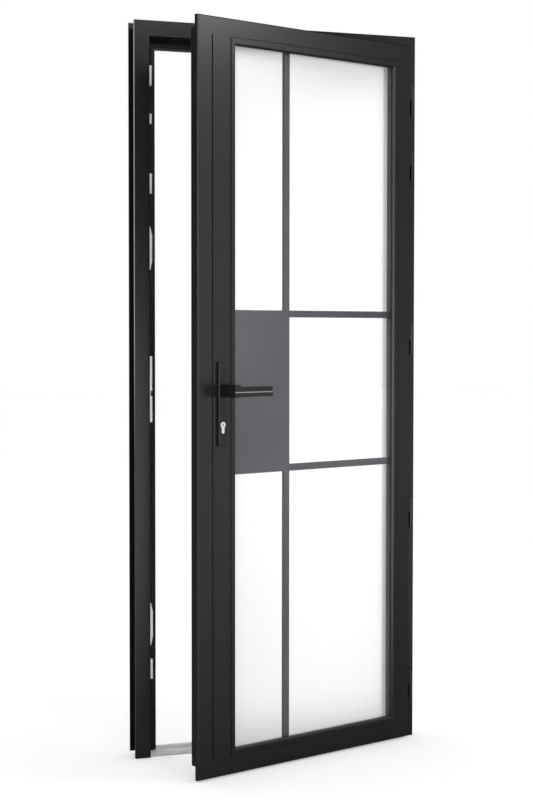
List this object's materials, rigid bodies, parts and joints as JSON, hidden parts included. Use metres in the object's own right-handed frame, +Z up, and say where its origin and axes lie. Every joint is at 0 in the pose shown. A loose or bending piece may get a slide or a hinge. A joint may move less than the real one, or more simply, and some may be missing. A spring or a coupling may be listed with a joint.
{
  "type": "glazed door with frame",
  "caption": "Black aluminium door with a frosted double-glazed leaf, muntin bars, lever handle and multipoint lock, standing ajar in its frame.",
  "frame": {"origin": "on the floor, under the middle of the frame's width and depth", "axes": "+X to the right seen from the side the leaf opens to, +Y through the doorway away from that side, +Z up"},
  "size_m": [0.89, 0.4319, 2.15],
  "materials": {
    "black_profile": "satin black powder coat",
    "black_hardware": "satin black",
    "silver_keeps": "satin",
    "threshold": "natural anodised",
    "black_seals": "matt",
    "clear_glass": "clear",
    "frosted_glass": "frosted",
    "spacer": "satin grey",
    "muntins": "satin dark grey",
    "cleats": "mill finish",
    "lock_steel": "satin",
    "cylinder": "nickel plated"
  },
  "bodies": {
    "frame": {"lock_jamb": "black_profile", "hinge_jamb": "black_profile", "head": "black_profile", "threshold": "threshold", "stop_gasket": "black_seals", "frame_cleats": "cleats", "main_strike": "silver_keeps", "upper_hook_keep": "silver_keeps", "lower_hook_keep": "silver_keeps", "cam_keep_1": "silver_keeps", "cam_keep_2": "silver_keeps", "cam_keep_3": "silver_keeps", "run_up_block": "silver_keeps", "hinge_frame_half_1": "black_hardware", "hinge_frame_half_2": "black_hardware", "hinge_frame_half_3": "black_hardware", "hinge_frame_half_4": "black_hardware", "hinge_frame_half_5": "black_hardware", "hinge_pins": "lock_steel"},
    "leaf": {"lock_stile": "black_profile", "hinge_stile": "black_profile", "top_rail": "black_profile", "bottom_rail": "black_profile", "lock_profile": "black_profile", "leaf_cleats": "cleats", "bead_lock": "black_profile", "bead_hinge": "black_profile", "bead_top": "black_profile", "bead_bottom": "black_profile", "front_pane": "clear_glass", "rear_pane": "frosted_glass", "glass_spacer": "spacer", "upright_muntin": "muntins", "level_muntins": "muntins", "lever_panel": "muntins", "glazing_gaskets": "black_seals", "setting_blocks": "black_seals", "flange_gasket": "black_seals", "bottom_seal": "black_seals", "lock_faceplate": "lock_steel", "lock_case": "lock_steel", "hook_cases": "lock_steel", "hinge_leaf_half_1": "black_hardware", "hinge_leaf_half_2": "black_hardware", "hinge_leaf_half_3": "black_hardware", "hinge_leaf_half_4": "black_hardware", "hinge_leaf_half_5": "black_hardware", "near_backplate": "black_hardware", "far_backplate": "black_hardware", "plate_screws": "black_hardware", "cylinder_body": "cylinder"},
    "lever_set": {"near_lever": "black_hardware", "far_lever": "black_hardware", "spindle": "lock_steel"},
    "latch": {"latch_bolt": "lock_steel"},
    "bolt": {"deadbolt": "lock_steel"},
    "plug": {"cylinder_plug": "cylinder"},
    "hook_above": {"upper_hook": "lock_steel"},
    "hook_below": {"lower_hook": "lock_steel"},
    "rods": {"drive_rods": "lock_steel"}
  },
  "joints": [
    {"name": "leaf_swing", "type": "hinge", "parent": "frame", "child": "leaf", "pos_m": [0.432, -0.043, 0], "axis": [0, 0, 1], "range_deg": [-21, 79]},
    {"name": "lever_turn", "type": "hinge", "parent": "leaf", "child": "lever_set", "pos_m": [-0.28119, -0.32534, 1.087], "axis": [-0.3584, 0.9336, 0], "range_deg": [0, 35], "stiffness_Nm_per_rad": 1.6, "springref_deg": -34.38},
    {"name": "latch_slide", "type": "slide", "parent": "leaf", "child": "latch", "axis": [0.9336, 0.3584, 0], "range_m": [0, 0.0091]},
    {"name": "deadbolt_slide", "type": "slide", "parent": "leaf", "child": "bolt", "axis": [-0.9336, -0.3584, 0], "range_m": [0, 0.02]},
    {"name": "plug_turn", "type": "hinge", "parent": "leaf", "child": "plug", "pos_m": [-0.28119, -0.32534, 0.992], "axis": [-0.3584, 0.9336, 0], "range_deg": [0, 360]},
    {"name": "upper_hook_turn", "type": "hinge", "parent": "leaf", "child": "hook_above", "pos_m": [-0.33179, -0.30513, 1.49286], "axis": [-0.3584, 0.9336, 0], "range_deg": [0, 90]},
    {"name": "lower_hook_turn", "type": "hinge", "parent": "leaf", "child": "hook_below", "pos_m": [-0.33179, -0.30513, 0.394], "axis": [-0.3584, 0.9336, 0], "range_deg": [0, 90]},
    {"name": "rod_slide", "type": "slide", "parent": "leaf", "child": "rods", "axis": [0, 0, 1], "range_m": [0, 0.015]}
  ],
  "couplings": [
    {"joint": "latch_slide", "follows": "lever_turn", "m_per_rad": 0.014733},
    {"joint": "plug_turn", "follows": "deadbolt_slide", "rad_per_m": 314.16},
    {"joint": "upper_hook_turn", "follows": "deadbolt_slide", "rad_per_m": 78.54},
    {"joint": "lower_hook_turn", "follows": "deadbolt_slide", "rad_per_m": 78.54},
    {"joint": "rod_slide", "follows": "deadbolt_slide", "ratio": 0.75}
  ]
}
